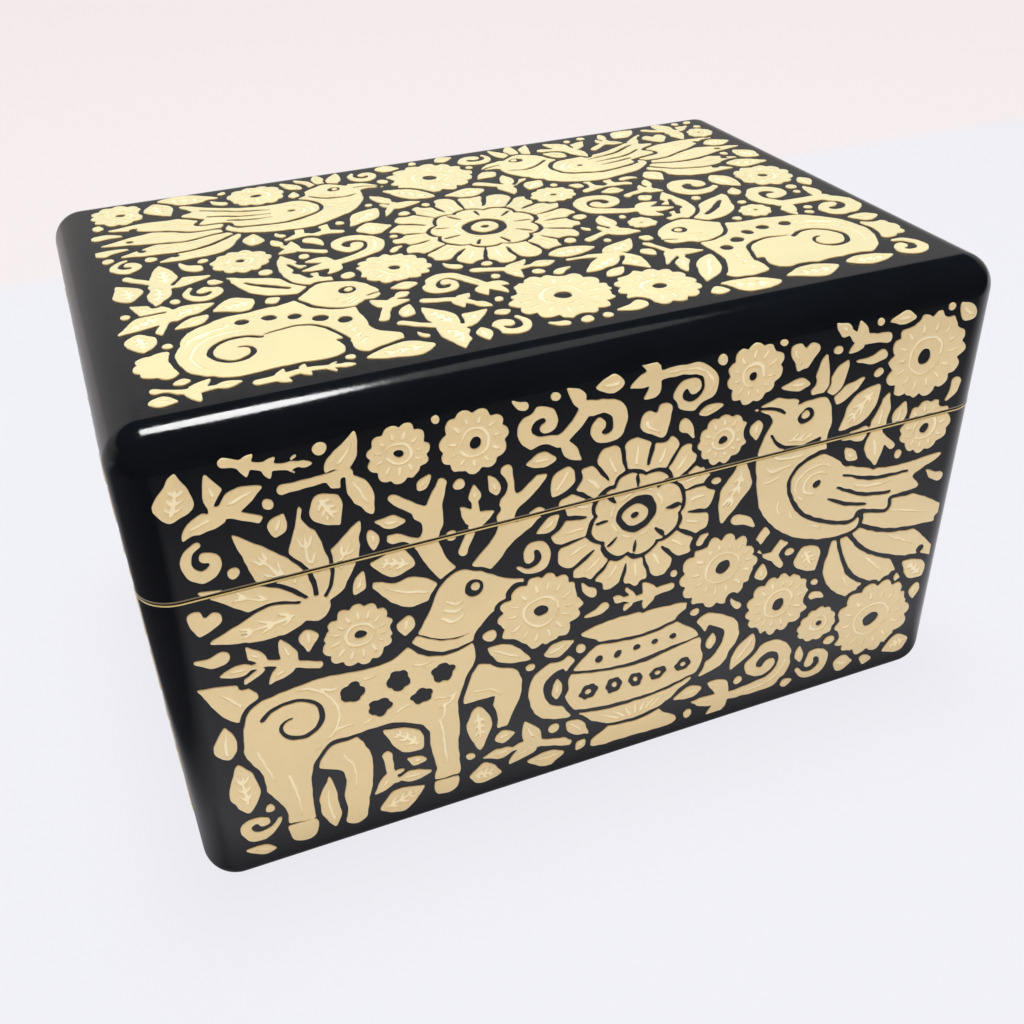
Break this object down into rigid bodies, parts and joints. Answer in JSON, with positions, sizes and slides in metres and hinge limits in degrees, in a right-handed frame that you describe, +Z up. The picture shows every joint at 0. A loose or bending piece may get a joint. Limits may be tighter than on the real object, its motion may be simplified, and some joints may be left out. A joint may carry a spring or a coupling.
{
  "type": "lacquered keepsake box",
  "caption": "Rectangular wooden keepsake box with rounded edges, glossy black lacquer with raised gold folk ornament, and a deep lid on hidden brass hinges.",
  "frame": {"origin": "on the table, under the middle of the box", "axes": "+X along the width, to the right as seen from the front; the front faces -Y; +Z up"},
  "size_m": [0.15, 0.104, 0.0905],
  "materials": {
    "black_lacquer": "gloss",
    "gold_lacquer": "satin",
    "bare_wood": "planed and bare",
    "hinge_brass": "aged satin",
    "brad_steel": "dull"
  },
  "bodies": {
    "base": {"body_front_panel": "bare_wood", "body_back_panel": "bare_wood", "body_left_panel": "bare_wood", "body_right_panel": "bare_wood", "bottom_panel": "bare_wood", "body_lacquer_coat": "black_lacquer", "left_hinge_body_leaf": "hinge_brass", "right_hinge_body_leaf": "hinge_brass", "left_hinge_pin": "hinge_brass", "right_hinge_pin": "hinge_brass", "body_leaf_screws": "hinge_brass", "body_corner_brads": "brad_steel", "bottom_panel_brads": "brad_steel"},
    "lid": {"lid_front_panel": "bare_wood", "lid_back_panel": "bare_wood", "lid_left_panel": "bare_wood", "lid_right_panel": "bare_wood", "top_panel": "bare_wood", "lid_lacquer_coat": "black_lacquer", "left_hinge_lid_leaf": "hinge_brass", "right_hinge_lid_leaf": "hinge_brass", "lid_leaf_screws": "hinge_brass", "lid_corner_brads": "brad_steel", "top_panel_brads": "brad_steel"}
  },
  "joints": [
    {"name": "lid_hinge", "type": "hinge", "parent": "base", "child": "lid", "pos_m": [0, 0.0503, 0.063], "axis": [-1, 0, 0], "range_deg": [0, 105]}
  ]
}
